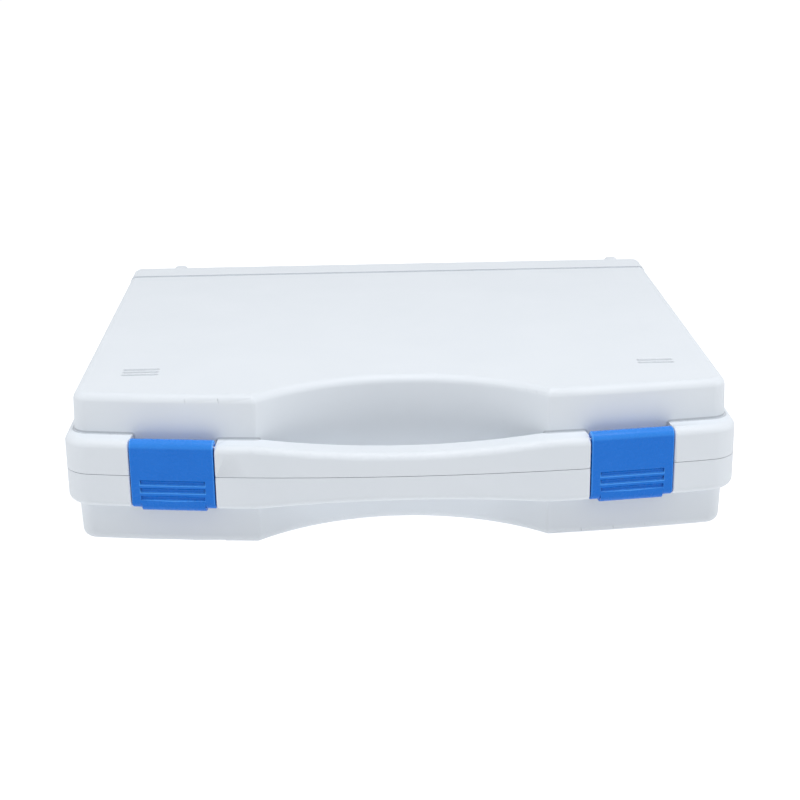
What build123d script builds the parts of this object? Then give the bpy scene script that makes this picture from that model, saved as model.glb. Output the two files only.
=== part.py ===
from build123d import *
import os
from math import asin, degrees, radians, sqrt, tan

os.makedirs("parts", exist_ok=True)

# Millimetres and degrees. X runs along the handle, -Y is the handle side and +Z is up.
# The origin is on the floor, under the middle of the case's box.

# Outer sizes of the closed case
case_width = 338.0
tub_reach = 290.0  # front of the handle to the rear wall of the tubs
base_height = 40.5  # floor to parting plane
lid_height = 38.0  # parting plane to the lid's main panel
parting_gap = 0.3

# Moulded tubs
wall = 2.2
floor_wall = 2.4
tub_draft = 2.0
tub_front_corner = 10.0
tub_rear_corner = 7.0
tub_edge_radius = 4.5
tub_front_radius = 950.0  # plan radius of the bowed front walls
cavity_edge_bevel = 2.0

# Rim that runs round both shells and carries the handle
rim_height = 17.6  # each half, from the parting plane
lid_rim_step = 1.85  # the lid's rim is this much lower between the latches
rim_front_radius = 900.0
rim_front_reach = 11.6  # rim beyond the tub at the front
rim_side_reach = 3.5
rim_rear_reach = 5.5
rim_front_corner = 16.0
rim_rear_corner = 7.5
rim_edge_radius = 4.0
rim_wall = 2.2
rim_root = 1.2  # how far the rim runs into the tub's wall
side_well_inset = 24.0  # tub's front corner to the wide part of the mouth
side_well_rear_inset = 14.0
side_well_corner = 4.0

# Handle and the finger recess behind it
recess_width = 144.5
recess_reach = 43.5  # front of the handle to the deepest part of the recess
recess_crease_radius = 2.5
handle_dip = 4.0  # each half of the rim is this much lower at mid handle
handle_blend_radius = 60.0
handle_rear_wall = 2.0
handle_pockets = 6
pocket_rib = 1.6

# Tongue of the base that the lid closes over
tongue_width = 1.0
tongue_height = 1.6
tongue_clearance = 0.25

# Latches
latch_inset = 54.75  # side of the rim to the middle of a latch
latch_width = 42.0
latch_side_gap = 0.5
latch_wall = 2.4
latch_skirt = 1.8
latch_depth = 7.0
latch_set_back = 0.1
latch_barrel_radius = 4.0
latch_pivot_height = 14.0  # above the parting plane
latch_tab_width = 32.0
latch_tab_drop = 1.5  # below the rim
latch_groove_length = 32.4
latch_groove_width = 2.3
latch_groove_depth = 0.9
latch_groove_pitch = 4.0
latch_groove_drop = 3.6  # parting plane to the middle of the top groove
latch_groove_count = 3
cheek = 2.5  # wall of the rim at each side of a latch

# Hook of each latch and the ledge that it catches under
catch_drop = 9.6  # parting plane to the ledge's underside
catch_height = 3.2
catch_width = 34.0
catch_clearance = 0.4
hook_width = 30.0
hook_height = 2.7
hook_bite = 1.7
hook_clearance = 0.3

# Pins
pin_radius = 1.0
pin_seat_clearance = 0.02
pin_running_clearance = 0.08
hinge_pin_inset = 0.3
latch_pin_socket = 1.6
latch_pin_end_gap = 0.2

# Hinges
knuckle_radius = 3.5
knuckle_clearance = 0.4
knuckle_length = 19.6
knuckle_gap = 0.4
knuckle_count = 3  # the base has the outer two, the lid the one between them
knuckle_step_out = 1.5  # knuckles beyond the rear of the rim
hinge_inset = 74.0  # side of the rim to the middle of a hinge
hinge_relief_radius = 1.7
lid_opening = 110.0
lid_stop_spare = 2.0

# Feet on the spine, staggered so that the lid's pass beside the base's
foot_width = 9.0
foot_start = 4.0  # parting plane to the foot
foot_end_drop = 0.7  # foot's end below the panel
foot_corner_radius = 3.0
outer_foot_inset = 22.0  # side of the rim to the middle of a foot
inner_foot_inset = 34.0

# Raised marks of the lid's panel
spine_strip_depth = 24.0
spine_strip_height = 0.6
pad_rib_length = 18.0
pad_rib_width = 1.6
pad_rib_height = 0.6
pad_rib_draft = 40.0
pad_rib_pitch = 4.5
pad_rib_inset = 35.5  # side of the rim to the middle of the ribs
pad_rib_reach = 60.2  # front of the handle to the middle of the ribs
left_pad_ribs = 3
right_pad_ribs = 2

# Places worked out from the sizes above
face_gap = parting_gap / 2
hinge_reach = rim_rear_reach + knuckle_step_out - knuckle_radius
spine_reach = hinge_reach + knuckle_radius
front_y = -(tub_reach + spine_reach) / 2
tub_front_y = front_y + rim_front_reach
tub_rear_y = front_y + tub_reach
hinge_y = tub_rear_y + hinge_reach
rim_rear_y = tub_rear_y + rim_rear_reach
spine_y = tub_rear_y + spine_reach
rim_half_width = case_width / 2
tub_half_width = rim_half_width - rim_side_reach
recess_half = recess_width / 2
rim_top_z = base_height + rim_height
latch_centre_x = rim_half_width - latch_inset
hinge_centre_x = rim_half_width - hinge_inset
outer_foot_x = rim_half_width - outer_foot_inset
inner_foot_x = rim_half_width - inner_foot_inset
pad_rib_centre_x = rim_half_width - pad_rib_inset
parting = Plane.XY.offset(base_height)
hinge_side = Plane(origin=(0, hinge_y, base_height), x_dir=(0, 1, 0), z_dir=(1, 0, 0))
latch_opening_width = latch_width + 2 * latch_side_gap
latch_pivot_inset = latch_set_back + latch_barrel_radius
catch_front = latch_set_back + latch_wall + catch_clearance
opening_reach = 4 * rim_front_reach  # long enough to cut the rim from front to rear
foot_reach = spine_reach + 2 * tub_edge_radius  # well past the rounded edge of the tub
near = 0.01  # within this a point lies on a drawn line


def bow(x, radius):
    """How far an arc of this radius has fallen back at a distance x from its crown."""
    return radius - sqrt(radius**2 - x**2)


def bowed_points(x0, x1, crown_y, radius):
    """Three points of a bowed front, from x0 to x1."""
    return [(x, crown_y + bow(x, radius)) for x in (x0, (x0 + x1) / 2, x1)]


def bowed_outline(half_width, crown_y, radius, rear_y, front_corner, rear_corner):
    """A plan outline with a bowed front, straight sides and rounded corners."""
    with BuildSketch() as outline:
        with BuildLine():
            front = ThreePointArc(*bowed_points(-half_width, half_width, crown_y, radius))
            Polyline(front @ 1, (half_width, rear_y), (-half_width, rear_y), front @ 0)
        make_face()
        fillet(outline.vertices().group_by(Axis.Y)[0], radius=front_corner)
        fillet(outline.vertices().group_by(Axis.Y)[-1], radius=rear_corner)
    return outline.sketch


def front_band(x0, x1):
    """The room inside the front of the rim between two stations, seen from above."""
    rear_crown = tub_front_y + rim_root - handle_rear_wall
    with BuildSketch() as band:
        with BuildLine():
            outer = ThreePointArc(
                *bowed_points(x0, x1, front_y + rim_wall, rim_front_radius - rim_wall)
            )
            inner = ThreePointArc(*bowed_points(x0, x1, rear_crown, tub_front_radius))
            Line(outer @ 0, inner @ 0)
            Line(outer @ 1, inner @ 1)
        make_face()
    return band.sketch


def drafted_block(outline, height, edge_radius):
    """An outline drawn out from the parting face with draft, its far edges rounded.

    The cavities, whose far edges are bevelled, have an edge radius of 0.
    """
    with BuildPart() as block:
        with BuildSketch(parting.offset(face_gap)):
            add(outline)
        extrude(amount=height - face_gap, taper=tub_draft)
        far_edges = block.faces().sort_by(Axis.Z)[-1].edges()
        if edge_radius:
            fillet(far_edges, radius=edge_radius)
            fillet(block.edges().filter_by(on_recess_crease), radius=recess_crease_radius)
        else:
            chamfer(far_edges, length=cavity_edge_bevel)
    return block.part


def on_recess_crease(edge):
    """Whether an edge is part of a crease where the recess meets the front wall."""
    foot, top = sorted((edge @ 0, edge @ 1), key=lambda point: point.Z)
    beside_recess = abs(abs(foot.X) - recess_half) < wall and abs(top.X - foot.X) < wall
    return beside_recess and top.Z - foot.Z > tub_edge_radius / 2 and foot.Y < tub_front_y + 3 * wall


def latch_spot(side):
    """Front of the rim at a latch, seen from above, turned along the rim's bow."""
    turn = degrees(asin(latch_centre_x / rim_front_radius))
    front = front_y + bow(latch_centre_x, rim_front_radius)
    return Location((side * latch_centre_x, front, 0), (0, 0, side * turn))


def knuckle_stations(indexes):
    """Places along the hinge line of some of the knuckles of both hinges."""
    pitch = knuckle_length + knuckle_gap
    middle = (knuckle_count - 1) / 2
    return [
        (side * hinge_centre_x + (index - middle) * pitch, hinge_y, base_height)
        for side in (-1, 1)
        for index in indexes
    ]


def on_recess_side(vertex):
    """Whether a vertex of the dip's outline is where the handle begins."""
    return abs(abs(vertex.X) - recess_half) < near


def on_rim_outline(edge):
    """Whether an edge is part of the rim's upper outline."""
    middle = edge @ 0.5
    beside = rim_outline.face().outer_wire().distance_to(Vertex(middle.X, middle.Y, 0))
    upright = abs((edge @ 0).X - (edge @ 1).X) + abs((edge @ 0).Y - (edge @ 1).Y) < near
    return beside < near and middle.Z > base_height + rim_height / 2 and not upright


# Plan outlines of the rim and of the tub
rim_outline = bowed_outline(
    rim_half_width, front_y, rim_front_radius, rim_rear_y, rim_front_corner, rim_rear_corner
)
plain_tub_outline = bowed_outline(
    tub_half_width, tub_front_y, tub_front_radius, tub_rear_y, tub_front_corner, tub_rear_corner
)

# The finger recess is one arc between two creases in the front wall
crease_y = tub_front_y + bow(recess_half, tub_front_radius)
with BuildSketch() as tub_outline:
    add(plain_tub_outline)
    with BuildLine():
        recess = ThreePointArc(
            (-recess_half, crease_y), (0, front_y + recess_reach), (recess_half, crease_y)
        )
        Polyline(recess @ 1, (recess_half, front_y), (-recess_half, front_y), recess @ 0)
    make_face(mode=Mode.SUBTRACT)

with BuildSketch() as cavity_outline:
    add(tub_outline.sketch)
    offset(amount=-wall, kind=Kind.INTERSECTION, mode=Mode.REPLACE)

# Along the sides the wall steps out into the rim, and so the mouth is wider there
well_front_y = tub_front_y + side_well_inset
well_rear_y = rim_rear_y - side_well_rear_inset
well_width = rim_side_reach + 4 * side_well_corner
front_reach = well_front_y - front_y + rim_front_reach
with BuildSketch() as side_wells:
    well_x = rim_half_width - rim_wall - well_width / 2
    with Locations(*[(side * well_x, (well_front_y + well_rear_y) / 2) for side in (-1, 1)]):
        RectangleRounded(well_width, well_rear_y - well_front_y, side_well_corner)

with BuildSketch() as mouth_outline:
    add(cavity_outline.sketch)
    add(side_wells.sketch)

# Where the latches are
latch_spots = [latch_spot(-1), latch_spot(1)]
latch_places = [parting * spot for spot in latch_spots]


def rim_half(step):
    """Rim of the upper half, lower between the latches by a step, with the handle in its front."""
    middle_top_z = rim_top_z - step
    handle_top_z = middle_top_z - handle_dip
    with BuildPart() as rim:
        with BuildSketch(parting.offset(face_gap)):
            add(rim_outline)
        extrude(amount=rim_height - face_gap)
        with BuildSketch(parting.offset(face_gap)):
            add(plain_tub_outline)
            offset(amount=-rim_root, kind=Kind.INTERSECTION, mode=Mode.REPLACE)
        extrude(amount=rim_height, mode=Mode.SUBTRACT)

        # Lower top between the latches, with the long dip of the handle
        with BuildSketch(Plane.XZ.offset(-well_front_y)) as dip:
            with BuildLine():
                dip_arc = ThreePointArc(
                    (-recess_half, middle_top_z), (0, handle_top_z), (recess_half, middle_top_z)
                )
                Polyline(
                    dip_arc @ 1,
                    (latch_centre_x, middle_top_z),
                    (latch_centre_x, rim_top_z + handle_dip),
                    (-latch_centre_x, rim_top_z + handle_dip),
                    (-latch_centre_x, middle_top_z),
                    dip_arc @ 0,
                )
            make_face()
            dip_ends = dip.vertices().filter_by(on_recess_side)
            fillet(dip_ends, radius=handle_blend_radius)
        extrude(amount=front_reach, mode=Mode.SUBTRACT)

        # Openings that the latches lie in
        with BuildSketch(parting.offset(face_gap)):
            with Locations(*latch_spots):
                Rectangle(latch_opening_width, opening_reach)
        extrude(amount=rim_height, mode=Mode.SUBTRACT)

        fillet(rim.edges().filter_by(on_rim_outline), radius=rim_edge_radius)

        # Pockets inside the handle, between cross ribs
        pocket_pitch = recess_width / handle_pockets
        with BuildSketch(parting.offset(face_gap)):
            for index in range(handle_pockets):
                start = index * pocket_pitch - recess_half
                add(front_band(start + pocket_rib / 2, start + pocket_pitch - pocket_rib / 2))
        extrude(amount=handle_top_z - base_height - rim_wall - face_gap, mode=Mode.SUBTRACT)

        # Pockets on both sides of each latch, closed towards it by a cheek
        with BuildSketch(parting.offset(face_gap)):
            outer_end = rim_half_width - rim_front_corner
            inner_end = recess_half + pocket_rib / 2
            add(front_band(inner_end, outer_end))
            add(front_band(-outer_end, -inner_end))
            with Locations(*latch_spots):
                Rectangle(latch_opening_width + 2 * cheek, opening_reach, mode=Mode.SUBTRACT)
        extrude(amount=middle_top_z - base_height - rim_wall - face_gap, mode=Mode.SUBTRACT)
    return rim.part


def half_shell(outside, rim, height, own_knuckles, other_knuckles, pin_clearance, feet):
    """One shell, drawn as the upper half, with what both halves share."""
    inside = drafted_block(cavity_outline.sketch, height - floor_wall, 0)
    foot_length = height - foot_end_drop - foot_start
    foot_centre_z = base_height + foot_start + foot_length / 2
    with BuildPart() as half:
        add(outside)
        add(rim)
        with BuildSketch(Plane.XZ.offset(-spine_y)):
            with Locations(*[(x, foot_centre_z) for x in feet]):
                RectangleRounded(foot_width, foot_length, foot_corner_radius)
        extrude(amount=foot_reach)
        add(inside, mode=Mode.SUBTRACT)

        # Wide part of the mouth along the sides
        with BuildSketch(parting.offset(face_gap)):
            add(side_wells.sketch)
        extrude(amount=rim_height - rim_wall - face_gap, mode=Mode.SUBTRACT)

        # Valley along the hinge line, which the two halves close like a book when open
        with BuildSketch(hinge_side):
            valley_depth = rim_rear_reach
            valley_height = valley_depth * tan(radians((lid_opening + lid_stop_spare) / 2))
            Polygon((0, 0), (valley_depth, 0), (valley_depth, valley_height), align=None)
            Circle(hinge_relief_radius)
        extrude(amount=rim_half_width, both=True, mode=Mode.SUBTRACT)

        # Knuckles, and room for those of the other half
        with Locations(*knuckle_stations(other_knuckles)):
            Cylinder(
                knuckle_radius + knuckle_clearance,
                knuckle_length + 2 * knuckle_gap,
                rotation=(0, 90, 0),
                mode=Mode.SUBTRACT,
            )
        with Locations(*knuckle_stations(own_knuckles)):
            Cylinder(knuckle_radius, knuckle_length, rotation=(0, 90, 0))
        with Locations(*knuckle_stations(own_knuckles)):
            Cylinder(
                pin_radius + pin_clearance,
                knuckle_length + 2 * knuckle_gap,
                rotation=(0, 90, 0),
                mode=Mode.SUBTRACT,
            )
    return half.part


# Closed outside of the lid, whose panel is a little higher along the spine
strip_front_y = tub_rear_y - lid_height * tan(radians(tub_draft)) - spine_strip_depth
with BuildPart() as lid_outside:
    add(drafted_block(tub_outline.sketch, lid_height + spine_strip_height, tub_edge_radius))
    with Locations((0, strip_front_y, base_height)):
        Box(
            case_width,
            tub_reach,
            2 * lid_height,
            align=(Align.CENTER, Align.MIN, Align.MIN),
            mode=Mode.INTERSECT,
        )
    add(drafted_block(tub_outline.sketch, lid_height, tub_edge_radius))

# The two halves, with the knuckles of each hinge shared out between them
base_knuckles = range(0, knuckle_count, 2)
lid_knuckles = range(1, knuckle_count, 2)
lid_half = half_shell(
    lid_outside.part,
    rim_half(lid_rim_step),
    lid_height,
    lid_knuckles,
    base_knuckles,
    pin_running_clearance,
    (-inner_foot_x, outer_foot_x),
)
base_half = half_shell(
    drafted_block(tub_outline.sketch, base_height, tub_edge_radius),
    rim_half(0),
    base_height,
    base_knuckles,
    lid_knuckles,
    pin_seat_clearance,
    (-outer_foot_x, inner_foot_x),
)

# Lid
with BuildPart() as lid_shell:
    add(lid_half)

    # Rebate that the base's tongue goes into
    with BuildSketch(parting.offset(face_gap)):
        add(mouth_outline.sketch)
        offset(amount=tongue_width + tongue_clearance, mode=Mode.REPLACE)
    extrude(amount=tongue_height + tongue_clearance - face_gap, mode=Mode.SUBTRACT)

    # Sockets in the cheeks for the latch pins
    with Locations(*latch_places):
        with Locations((0, latch_pivot_inset, latch_pivot_height)):
            Cylinder(
                pin_radius + pin_seat_clearance,
                latch_opening_width + 2 * latch_pin_socket,
                rotation=(0, 90, 0),
                mode=Mode.SUBTRACT,
            )

    # Short raised ribs near the front corners of the panel
    with BuildSketch(parting.offset(lid_height)):
        for side, count in ((-1, left_pad_ribs), (1, right_pad_ribs)):
            with Locations((side * pad_rib_centre_x, front_y + pad_rib_reach)):
                with GridLocations(0, pad_rib_pitch, 1, count):
                    Rectangle(pad_rib_length, pad_rib_width)
    extrude(amount=pad_rib_height, taper=pad_rib_draft)
lid_shell.part.label = "lid_shell"
export_step(lid_shell.part, "parts/lid_shell.step")

# Base
with BuildPart() as base_shell:
    mirror(base_half, about=parting)

    # Tongue round the mouth
    with BuildSketch(parting.offset(-face_gap)):
        add(mouth_outline.sketch)
        offset(amount=tongue_width, mode=Mode.REPLACE)
        add(mouth_outline.sketch, mode=Mode.SUBTRACT)
    extrude(amount=face_gap + tongue_height)

    # Ledges that the latch hooks catch under
    with Locations(*latch_places):
        with Locations((0, catch_front, -catch_drop)):
            Box(
                catch_width,
                rim_front_reach + wall / 2 - catch_front,
                catch_height,
                align=(Align.CENTER, Align.MIN, Align.MIN),
            )
base_shell.part.label = "base_shell"
export_step(base_shell.part, "parts/base_shell.step")

# One latch at the origin: its front on the XZ plane, Z zero at the parting plane
plate_rear = latch_set_back + latch_wall
with BuildPart() as latch_body:
    # Plate with its rolled-back lower edge, and the wider drop of its finger tab
    for width, drop in ((latch_width, 0), (latch_tab_width, latch_tab_drop)):
        with BuildSketch(Plane.YZ) as section:
            with Locations((latch_set_back, latch_pivot_height)):
                Rectangle(
                    latch_depth,
                    latch_pivot_height + rim_height + drop,
                    align=(Align.MIN, Align.MAX),
                )
            low_vertices = section.vertices().group_by(Axis.Y)[0]
            fillet(low_vertices.sort_by(Axis.X)[0], radius=rim_edge_radius)
        extrude(amount=width / 2, both=True)

    # Hollow behind the plate, open to the rear
    with Locations((0, plate_rear, latch_wall - rim_height)):
        Box(
            latch_width - 2 * latch_skirt,
            latch_depth,
            rim_height - latch_wall + latch_pivot_height - latch_barrel_radius,
            align=(Align.CENTER, Align.MIN, Align.MIN),
            mode=Mode.SUBTRACT,
        )

    # Rolled top
    with Locations((0, latch_pivot_inset, latch_pivot_height)):
        Cylinder(latch_barrel_radius, latch_width, rotation=(0, 90, 0))

    # Grooves across the plate
    half_width = latch_groove_width / 2
    groove_radius = (half_width**2 + latch_groove_depth**2) / (2 * latch_groove_depth)
    groove_axis_y = latch_set_back + latch_groove_depth - groove_radius
    for index in range(latch_groove_count):
        groove_z = -latch_groove_drop - index * latch_groove_pitch
        with Locations((0, groove_axis_y, groove_z)):
            Cylinder(
                groove_radius, latch_groove_length, rotation=(0, 90, 0), mode=Mode.SUBTRACT
            )

    # Hook behind the plate
    hook_top = -catch_drop - hook_clearance
    with BuildSketch(Plane.YZ) as hook:
        Polygon(
            (plate_rear - latch_wall / 2, hook_top),
            (catch_front + hook_bite, hook_top),
            (catch_front + hook_bite, hook_top - hook_height / 2),
            (plate_rear, hook_top - hook_height),
            (plate_rear - latch_wall / 2, hook_top - hook_height),
            align=None,
        )
    extrude(amount=hook_width / 2, both=True)

    # Bore of the pin
    with Locations((0, latch_pivot_inset, latch_pivot_height)):
        Cylinder(
            pin_radius + pin_running_clearance,
            latch_width,
            rotation=(0, 90, 0),
            mode=Mode.SUBTRACT,
        )

for name, place in zip(("latch_left", "latch_right"), latch_places):
    with BuildPart() as latch:
        with Locations(place):
            add(latch_body.part)
    latch.part.label = name
    export_step(latch.part, f"parts/{name}.step")

# Pins of the latches, held by the cheeks of the lid
for name, place in zip(("latch_pin_left", "latch_pin_right"), latch_places):
    with BuildPart() as latch_pin:
        with Locations(place):
            with Locations((0, latch_pivot_inset, latch_pivot_height)):
                Cylinder(
                    pin_radius,
                    latch_opening_width + 2 * (latch_pin_socket - latch_pin_end_gap),
                    rotation=(0, 90, 0),
                )
    latch_pin.part.label = name
    export_step(latch_pin.part, f"parts/{name}.step")

# Pins of the hinges, held by the base's knuckles
hinge_length = knuckle_count * (knuckle_length + knuckle_gap) - knuckle_gap
for name, side in (("hinge_pin_left", -1), ("hinge_pin_right", 1)):
    with BuildPart() as hinge_pin:
        with Locations((side * hinge_centre_x, hinge_y, base_height)):
            Cylinder(pin_radius, hinge_length - 2 * hinge_pin_inset, rotation=(0, 90, 0))
    hinge_pin.part.label = name
    export_step(hinge_pin.part, f"parts/{name}.step")
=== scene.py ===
from math import cos, hypot, pi, radians, sin

import bmesh
import bpy
from mathutils import Matrix, Vector


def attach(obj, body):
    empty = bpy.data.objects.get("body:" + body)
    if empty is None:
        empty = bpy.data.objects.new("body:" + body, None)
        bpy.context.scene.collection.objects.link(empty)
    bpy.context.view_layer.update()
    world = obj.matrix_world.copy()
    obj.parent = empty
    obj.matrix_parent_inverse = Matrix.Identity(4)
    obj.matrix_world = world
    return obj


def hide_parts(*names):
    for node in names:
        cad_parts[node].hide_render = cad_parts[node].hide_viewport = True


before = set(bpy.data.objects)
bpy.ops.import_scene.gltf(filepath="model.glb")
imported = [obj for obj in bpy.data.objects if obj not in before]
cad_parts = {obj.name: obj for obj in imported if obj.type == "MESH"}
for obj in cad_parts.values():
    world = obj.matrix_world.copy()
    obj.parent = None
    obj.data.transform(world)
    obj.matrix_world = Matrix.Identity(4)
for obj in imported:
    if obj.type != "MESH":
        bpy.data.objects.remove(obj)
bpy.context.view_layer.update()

# Camera: the case is seen from the handle side and from a little above its lid, by a lens
# about twice as long as the picture is wide. Lengths are in metres, angles in radians.
scene = bpy.context.scene
picture_width = 800
focal_pixels = 1625.5
camera_place = Vector((-0.0222, -0.8937, 0.3272))
camera_turn = -0.028
camera_dip = 0.320
camera_roll = -0.014
lens = bpy.data.cameras.new("camera")
lens.sensor_width = 36.0
lens.lens = lens.sensor_width * focal_pixels / picture_width
lens.clip_end = 50.0
camera = bpy.data.objects.new("camera", lens)
scene.collection.objects.link(camera)
camera.matrix_world = (
    Matrix.Translation(camera_place)
    @ Matrix.Rotation(camera_turn, 4, "Z")
    @ Matrix.Rotation(pi / 2 - camera_dip, 4, "X")
    @ Matrix.Rotation(camera_roll, 4, "Z")
)
scene.camera = camera
scene.view_settings.view_transform = "Standard"


# Studio: a white table that glows as a light table does, in a dim white room. A soft lamp
# overhead lights the lid and the rim's top, and a box at either side the outer walls. The room
# is white to the camera and in reflections, and the table's full glow is for the camera alone.
class Wire:
    """A socket of a node tree, on which Python's operators add Math nodes."""

    def __init__(self, socket):
        self.socket = socket

    def math(self, operation, *values):
        made = self.socket.id_data.nodes.new("ShaderNodeMath")
        made.operation = operation
        for slot, value in zip(made.inputs, values):
            plug(value, slot)
        return Wire(made.outputs[0])

    def __add__(self, other):
        return self.math("ADD", self, other)

    def __radd__(self, other):
        return self.math("ADD", other, self)

    def __sub__(self, other):
        return self.math("SUBTRACT", self, other)

    def __rsub__(self, other):
        return self.math("SUBTRACT", other, self)

    def __mul__(self, other):
        return self.math("MULTIPLY", self, other)

    def __rmul__(self, other):
        return self.math("MULTIPLY", other, self)

    def __abs__(self):
        return self.math("ABSOLUTE", self)

    def at_least(self, low):
        return self.math("MAXIMUM", self, low)

    def at_most(self, high):
        return self.math("MINIMUM", self, high)

    def ramp(self, start, end):
        """0 up to the start, 1 from the end on, and even in between."""
        return ((self - start) * (1 / (end - start))).at_least(0).at_most(1)


def plug(value, slot):
    """Link a wire to a slot, or set the slot to a plain value."""
    if isinstance(value, Wire):
        value.socket.id_data.links.new(value.socket, slot)
    else:
        slot.default_value = value


class Finish:
    """A material or world whose nodes are added one by one."""

    def __init__(self, owner):
        owner.use_nodes = True
        self.owner = owner
        self.tree = owner.node_tree

    def node(self, kind, settings=None, inputs=None, output=0):
        """Add a node of a type: its settings first, then values or links of its sockets."""
        made = self.tree.nodes.new(kind)
        for name, value in (settings or {}).items():
            setattr(made, name, value)
        for name, value in (inputs or {}).items():
            plug(value, made.inputs[name])
        return Wire(made.outputs[output])

    def shader(self, name, **values):
        """Set or link sockets of the finish's own shader, named without their spaces."""
        for slot in self.tree.nodes[name].inputs:
            slot_name = slot.name.replace(" ", "_").lower()
            if slot_name in values:
                plug(values[slot_name], slot)


def blend(finish, factor, first, second):
    """A colour between two colours."""
    sockets = {0: factor, 6: first, 7: second}
    return finish.node("ShaderNodeMix", {"data_type": "RGBA"}, sockets, 2)


world = bpy.data.worlds.new("studio")
scene.world = world
room = Finish(world)
seen = room.node("ShaderNodeLightPath", output="Is Camera Ray")
mirrored = room.node("ShaderNodeLightPath", output="Is Glossy Ray")
through = room.node("ShaderNodeLightPath", output="Is Transmission Ray")
room_light = 0.34
direct = seen + mirrored + through
room.shader("Background", color=(1, 1, 1, 1), strength=room_light + (1 - room_light) * direct)

for name, spot, size, watts in (
    ("overhead", (0.1, -0.45, 1.5), 0.7, 13.6),
    ("left_box", (-1.3, -0.3, 0.7), 0.9, 5.0),
    ("right_box", (1.3, -0.3, 0.7), 0.9, 5.0),
):
    lamp_data = bpy.data.lights.new(name, "AREA")
    lamp_data.size = size
    lamp_data.energy = watts
    lamp = bpy.data.objects.new(name, lamp_data)
    lamp.location = spot
    lamp.rotation_euler = (-lamp.location).to_track_quat("-Z", "Y").to_euler()
    scene.collection.objects.link(lamp)

table_width = 12
bpy.ops.mesh.primitive_plane_add(size=table_width)
table = bpy.context.object
table.name = "table"
table_top = Finish(bpy.data.materials.new("table"))
table_seen = table_top.node("ShaderNodeLightPath", output="Is Camera Ray")
glow_on_case, full_glow = (0.72, 0.72, 0.72, 1), (0.92, 0.92, 0.92, 1)
table_top.shader(
    "Principled BSDF",
    base_color=(0.35, 0.35, 0.35, 1),
    roughness=0.9,
    specular_ior_level=0.0,
    emission_color=blend(table_top, table_seen, glow_on_case, full_glow),
    emission_strength=1.0,
)
table.data.materials.append(table_top.owner)


# Lid: the upper half of the case, moulded in one piece from light grey plastic with a fine
# satin grain. Its walls have the faint waves of a cooled moulding, and wear leaves its edges a
# little smoother and paler. The corners beside the latches are rounded by the mould, and their
# roundings are paler still as a painted highlight. Its creases carry painted shade.
def place(finish, stretch=(1, 1, 1)):
    """Where a point lies on its piece, in millimetres divided by a stretch along each axis."""
    here = finish.node("ShaderNodeTexCoord", output="Object")
    per_metre = tuple(1000 / factor for factor in stretch)
    settings, inputs = {"operation": "MULTIPLY"}, {0: here, 1: per_metre}
    return finish.node("ShaderNodeVectorMath", settings, inputs)


def cloud(finish, size, stretch=(1, 1, 1), detail=2):
    """Noise about 0.5 in patches some millimetres wide, which a stretch draws out."""
    return finish.node(
        "ShaderNodeTexNoise",
        inputs={"Vector": place(finish, stretch), "Scale": 1 / size, "Detail": detail},
    )


def scratches(finish, size, stretch, spread):
    """Fine lines, 1 at their middle, in some patches of the piece and not in others."""
    thinness = 55
    line = (1 - thinness * abs(cloud(finish, size, stretch) - 0.5)).at_least(0)
    return line * cloud(finish, spread).ramp(0.48, 0.68)


def alignment(finish, direction):
    """1 where a direction is that of the smooth surface, and less where it turns away."""
    smooth = finish.node("ShaderNodeNewGeometry", output="Normal")
    settings, inputs = {"operation": "DOT_PRODUCT"}, {0: direction, 1: smooth}
    return finish.node("ShaderNodeVectorMath", settings, inputs, "Value")


def crevice(finish, reach):
    """1 deep in the hollows of the piece and 0 in the open, over a reach in metres.

    It is measured from the flat facets. Slivers that lie askew in a smooth surface
    count as open.
    """
    facet = finish.node("ShaderNodeNewGeometry", output="True Normal")
    settings = {"samples": 8, "only_local": True}
    inputs = {"Distance": reach, "Normal": facet}
    lit = finish.node("ShaderNodeAmbientOcclusion", settings, inputs, "AO")
    return (1 - lit) * alignment(finish, facet).ramp(5 / 6, 1)


def outer_edges(finish, reach):
    """1 on the outer edges of the piece and 0 on flats, fading over a reach in metres."""
    rounded = finish.node("ShaderNodeBevel", {"samples": 8}, {"Radius": reach})
    turned = 1 - alignment(finish, rounded)
    return (8 * turned - 2 * crevice(finish, reach)).at_least(0).at_most(1)


def relief(finish, height):
    """The normal of a surface with this height in millimetres."""
    return finish.node("ShaderNodeBump", inputs={"Distance": 0.001, "Height": height})


# The right latch, in metres and radians: its front's middle, turn and depth, and the height
# of its pin. The left latch mirrors it.
latch_x, latch_y, latch_turn = 0.11425, -0.14122, 0.12729
latch_front_depth, latch_pin_height = 0.009, 0.0545


def across_latch(point):
    """A point seen from the nearer latch: sideways from its middle, and back from its front."""
    turn = latch_turn if point.x > 0 else -latch_turn
    off_x = point.x - (latch_x if point.x > 0 else -latch_x)
    off_y = point.y - latch_y
    return abs(off_x * cos(turn) + off_y * sin(turn)), off_y * cos(turn) - off_x * sin(turn)


def beside_latch(edge):
    """Whether an edge is an outer one of the opening that a latch lies in."""
    half_opening, side_band = 0.0215, 5e-5
    pin_back, pin_room = 0.0041, 0.0015
    parting_height, parting_band = 0.0405, 3e-4
    for corner in edge.verts:
        sideways, back = across_latch(corner.co)
        at_pin = hypot(back - pin_back, corner.co.z - latch_pin_height) < pin_room
        off_side = abs(sideways - half_opening)
        if off_side > side_band or back > latch_front_depth or at_pin:
            return False
    off_parting = max(abs(corner.co.z - parting_height) for corner in edge.verts)
    return off_parting > parting_band


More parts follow.
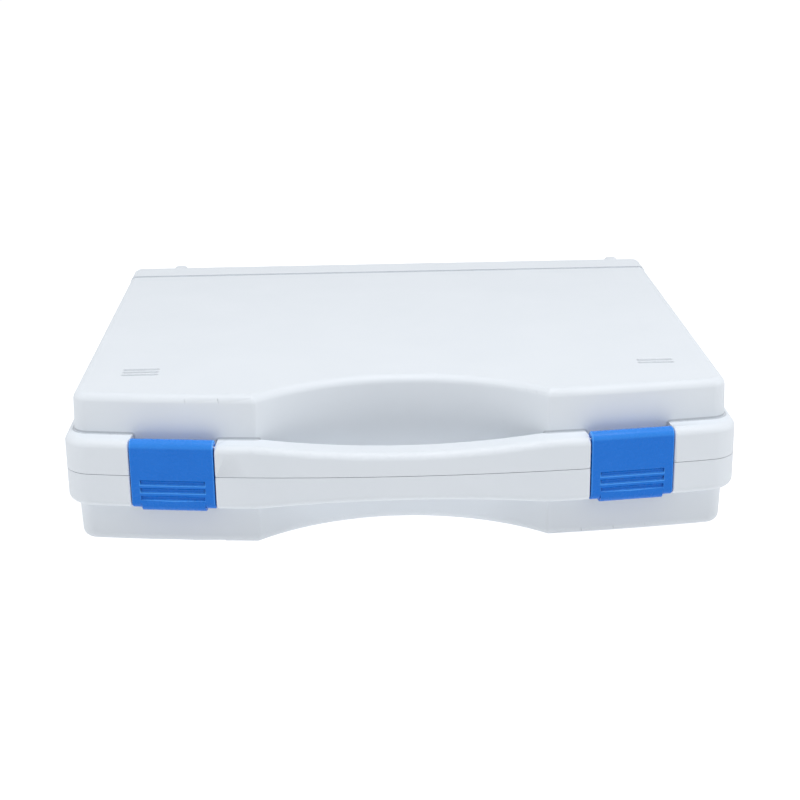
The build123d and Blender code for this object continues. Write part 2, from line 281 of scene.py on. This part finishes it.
def comb_front(shape):
    """Lay the facets of the lid's rounded front edge in rows, where they came in fans.

    The fans start on the edge's upper border, and at the far left on its lower one too.
    The other pieces have no facets between these borders.
    """
    lower, upper, level = 0.074157, 0.0785, 1e-5
    front, corner, far_left = -0.1, 0.1565, -0.106
    panel_upright, shortest_spoke = 0.9999, 0.001

    def on_line(point, height):
        return abs(point.z - height) < level

    def in_edge(point):
        return point.z >= lower - level and point.y <= front and abs(point.x) <= corner

    def on_slope(face):
        points = [vertex.co for vertex in face.verts]
        looks_up_or_back = face.normal.y > 0 or face.normal.z > panel_upright
        if looks_up_or_back or not all(in_edge(point) for point in points):
            return False
        at_far_left = all(point.x < far_left for point in points)
        borders = (upper, lower) if at_far_left else (upper,)
        return any(on_line(point, border) for point in points for border in borders)

    def is_spoke(edge):
        on_border = [on_line(v.co, upper) or on_line(v.co, lower) for v in edge.verts]
        return sum(on_border) == 1 and edge.calc_length() > shortest_spoke

    spokes = [
        edge
        for edge in shape.edges
        if is_spoke(edge) and all(on_slope(face) for face in edge.link_faces)
    ]
    bmesh.ops.dissolve_edges(shape, edges=spokes, use_verts=False)
    for face in [face for face in shape.faces if len(face.verts) > 4 and on_slope(face)]:
        rows = {}
        for vertex in face.verts:
            rows.setdefault(round(vertex.co.z / level), []).append(vertex)
        for row in rows.values():
            if len(row) == 2 and not shape.edges.get(row):
                bmesh.ops.connect_verts(shape, verts=row)


def moulding(node, body, finishes, radius, is_rounded, middle=()):
    """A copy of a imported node's mesh, with some sharp edges rounded in the second finish.

    A middle is a point and a direction, across which its flat faces are kept in two halves, so
    that none of them has a hole.
    """
    weld, flat_angle, sharp_angle = 1e-6, radians(0.2), radians(35)
    shape = bmesh.new()
    shape.from_mesh(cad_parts[node].data)
    bmesh.ops.remove_doubles(shape, verts=shape.verts, dist=weld)
    comb_front(shape)
    if middle:
        everything = shape.verts[:] + shape.edges[:] + shape.faces[:]
        halved = bmesh.ops.bisect_plane(
            shape, geom=everything, plane_co=middle[0], plane_no=middle[1]
        )
        for cut in halved["geom_cut"]:
            if isinstance(cut, bmesh.types.BMEdge):
                cut.seam = True
    bmesh.ops.dissolve_limit(
        shape,
        angle_limit=flat_angle,
        verts=shape.verts,
        edges=shape.edges,
        delimit={"SEAM"},
    )
    weight = shape.edges.layers.float.new("bevel_weight_edge")
    for face in shape.faces:
        face.smooth = True
    for edge in shape.edges:
        edge.smooth = edge.is_manifold and edge.calc_face_angle() < sharp_angle
        edge[weight] = float(not edge.smooth and edge.is_convex and is_rounded(edge))
    mesh = bpy.data.meshes.new(f"{node}_moulding")
    shape.to_mesh(mesh)
    shape.free()
    piece = bpy.data.objects.new(f"{node}_moulding", mesh)
    scene.collection.objects.link(piece)
    bevel = piece.modifiers.new("rounding", "BEVEL")
    bevel.limit_method = "WEIGHT"
    bevel.width = radius
    bevel.segments = 3
    bevel.material = 1
    bevel.use_clamp_overlap = False
    bevel.loop_slide = False
    normals = piece.modifiers.new("normals", "WEIGHTED_NORMAL")
    normals.keep_sharp = True
    normals.weight = 100
    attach(piece, body)
    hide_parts(node)
    for finish in finishes:
        piece.data.materials.append(finish)


def shell_plastic(name, on_rounding):
    """The plastic of the shells. Its edges are a little paler and smoother from handling, its
    roundings are paler still as a painted highlight, and its creases carry painted shade.
    """
    finish = Finish(bpy.data.materials.new(name))
    edge = (on_rounding + outer_edges(finish, reach=0.001)).at_most(1)
    hollow = crevice(finish, reach=0.0015)
    # Painted shade: shallow creases, such as the flanks of the ribs, are darkened, and deep
    # hollows more so.
    painted_crease_shade = hollow.ramp(0.075, 0.1375) * (1 - hollow.ramp(0.05, 0.55))
    painted_hollow_shade = hollow.ramp(0.65, 0.9)
    sideways = scratches(finish, 1.3, (25, 1.5, 25), 30)
    rearwards = scratches(finish, 1.6, (4, 30, 4), 40)
    scuffs = sideways + rearwards
    grain = 0.015 * cloud(finish, 0.4, detail=3)
    waves = 0.25 * cloud(finish, 50)
    deep, light = (0.70, 0.747, 0.80, 1), (0.74, 0.783, 0.836, 1)
    # The darker colour is painted shade for the creases and hollows.
    pale, painted_shade_colour = (0.88, 0.90, 0.94, 1), (0.34, 0.37, 0.41, 1)
    new = blend(finish, cloud(finish, 45), deep, light)
    # Outer edges are a little paler from wear; the roundings beside the latches are paler still
    # as a painted highlight.
    worn_and_highlit = blend(finish, 0.1 * edge + 0.2 * on_rounding, new, pale)
    finish.shader(
        "Principled BSDF",
        base_color=blend(finish, painted_crease_shade + 0.5 * painted_hollow_shade, worn_and_highlit, painted_shade_colour),
        roughness=0.48 + 0.12 * cloud(finish, 8) - 0.12 * edge + 0.08 * scuffs,
        specular_ior_level=0.5,
        normal=relief(finish, grain + waves - 0.006 * scuffs),
    )
    return finish.owner


shell = shell_plastic("shell_grey", 0)
# The finish of the roundings beside the latches: paler, partly from wear and partly as a
# painted highlight.
shell_rounding = shell_plastic("shell_grey_worn", 1)
shell_finishes, shell_radius = (shell, shell_rounding), 0.0009
moulding("lid_shell", "lid", shell_finishes, shell_radius, beside_latch)

# Base: the lower half, of the same plastic from a mould of its own. It carries the lower half
# of the rim and handle, and its spine holds the knuckles that the hinge pins go through.
moulding("base_shell", "base", shell_finishes, shell_radius, beside_latch)


# Latches: two bent plates of blue plastic with a rolled top that turns on a pin in the lid,
# three grooves for the thumb and a finger tab. They are smoother than the shells, and their
# edges and the lips of the grooves are rounded and paled by wear. Edges that face up and the
# rolled top are paler still as a painted highlight, and hollows that face down carry painted
# shadow.
def on_latch_front(edge):
    """Whether an edge of a latch is on its front, away from the thin corners of its tab."""
    tab_half_width, tab_start, thin_corner = 0.016, 0.029, 0.0006
    middle = (edge.verts[0].co + edge.verts[1].co) / 2
    sideways, back = across_latch(middle)
    at_tab = abs(sideways - tab_half_width) < thin_corner and middle.z < tab_start
    return back < latch_front_depth and not at_tab


def upright(finish, vector):
    """The part of a vector that points to the top of the piece."""
    return finish.node("ShaderNodeSeparateXYZ", inputs={"Vector": vector}, output="Z")


def latch_plastic(name, on_rounding):
    """The plastic of the latches, paler and smoother where the thumb and the hand rub it, with
    a painted highlight on edges that face up and on the rolled top, and a painted shadow in
    hollows that face down.
    """
    finish = Finish(bpy.data.materials.new(name))
    facing_up = upright(finish, finish.node("ShaderNodeTexCoord", output="Normal"))
    pin_height = 1000 * latch_pin_height
    rolled_top = upright(finish, place(finish)).ramp(pin_height, pin_height + 1)
    edge = (on_rounding + outer_edges(finish, reach=0.0008)).at_most(1)
    # Painted highlight: edges that face up are paler than edges that face down, and the rolled
    # top is paler; the rest of the edge paleness is wear.
    wear_and_highlight = edge * (0.4 + facing_up).at_least(0).at_most(0.8) + 0.3 * rolled_top
    # Painted shadow: hollows that face down, under the upper lips of the grooves, are darkened.
    painted_hollow_shade = (crevice(finish, reach=0.0012) * (1 - facing_up)).ramp(0.25, 0.5)
    scuffs = scratches(finish, 0.8, (18, 18, 1), 9)
    grain = 0.008 * cloud(finish, 0.3, detail=3)
    waves = 0.05 * cloud(finish, 14)
    deep, light = (0.002, 0.155, 0.65, 1), (0.006, 0.175, 0.70, 1)
    # The darker colour is painted shadow for the hollows that face down.
    pale, painted_shade_colour = (0.08, 0.36, 0.92, 1), (0.0, 0.05, 0.30, 1)
    new = blend(finish, cloud(finish, 12), deep, light)
    worn_and_highlit = blend(finish, wear_and_highlight + 0.06 * scuffs, new, pale)
    finish.shader(
        "Principled BSDF",
        base_color=blend(finish, 0.6 * painted_hollow_shade, worn_and_highlit, painted_shade_colour),
        roughness=0.22 + 0.1 * cloud(finish, 3) - 0.05 * edge + 0.1 * scuffs,
        specular_ior_level=0.25,
        normal=relief(finish, grain + waves - 0.006 * scuffs),
    )
    return finish.owner


blue = latch_plastic("latch_blue", 0)
# The finish of the roundings on the latch fronts: paler from wear and, where they face up, as a
# painted highlight.
blue_rounding = latch_plastic("latch_blue_worn", 1)
for name, side in (("left", -1), ("right", 1)):
    middle = ((side * latch_x, latch_y, 0), (cos(latch_turn), side * sin(latch_turn), 0))
    moulding(
        f"latch_{name}",
        f"{name}_latch",
        (blue, blue_rounding),
        radius=0.0005,
        is_rounded=on_latch_front,
        middle=middle,
    )

# Pins: four lengths of bright drawn wire, two in the cheeks of the lid's rim and two in the
# hinge knuckles. Drawing leaves fine lines along them, and oil has dulled them in spots.
steel = Finish(bpy.data.materials.new("pin_steel"))
drawn_lines = cloud(steel, 0.12, (60, 1, 1), detail=3)
dull_spots = cloud(steel, 5).ramp(0.45, 0.7)
bright, dull = (0.62, 0.62, 0.63, 1), (0.48, 0.46, 0.44, 1)
steel.shader(
    "Principled BSDF",
    base_color=blend(steel, dull_spots, bright, dull),
    metallic=1.0,
    roughness=0.2 + 0.15 * drawn_lines + 0.15 * dull_spots,
    normal=relief(steel, 0.004 * drawn_lines),
)
for name in ("latch_pin_left", "latch_pin_right", "hinge_pin_left", "hinge_pin_right"):
    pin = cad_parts[name]
    pin.data.materials.clear()
    pin.data.materials.append(steel.owner)
